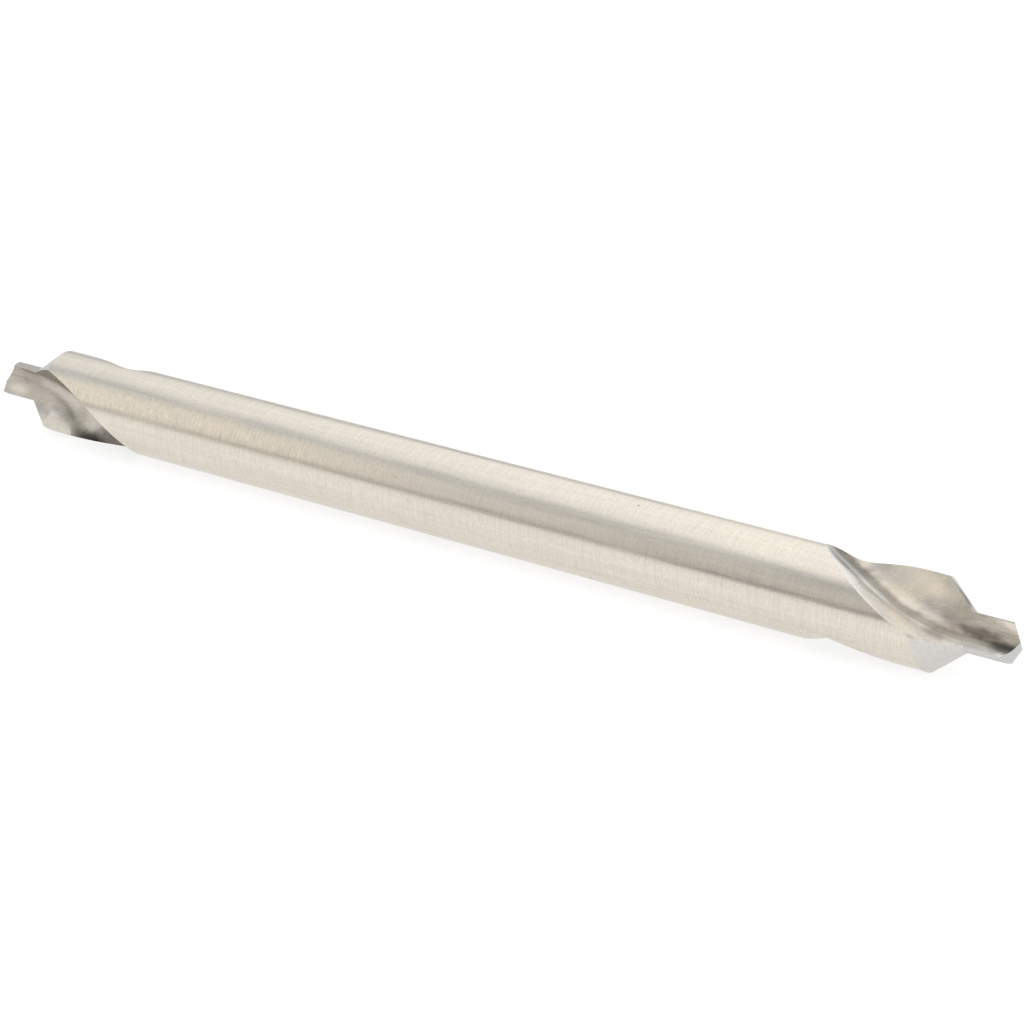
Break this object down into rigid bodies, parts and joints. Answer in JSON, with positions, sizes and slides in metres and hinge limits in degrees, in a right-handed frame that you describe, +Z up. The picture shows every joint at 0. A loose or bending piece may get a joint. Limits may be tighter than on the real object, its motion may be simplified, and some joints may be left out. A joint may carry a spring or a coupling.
{
  "type": "centre drill",
  "caption": "Double-ended extra-long centre drill: a ground steel rod with a fluted stub drill and a conical countersink at each end.",
  "frame": {"origin": "middle of the drill's length, on its axis", "axes": "+X along the drill's axis towards the end that is nearer in the picture, +Z up as it lies on a table, +Y across"},
  "size_m": [0.1524, 0.0112, 0.0112],
  "materials": {
    "ground_steel": "finely ground bright high-speed steel, with grinding lines round the shank"
  },
  "bodies": {
    "root": {"centre_drill": "ground_steel"}
  },
  "joints": []
}
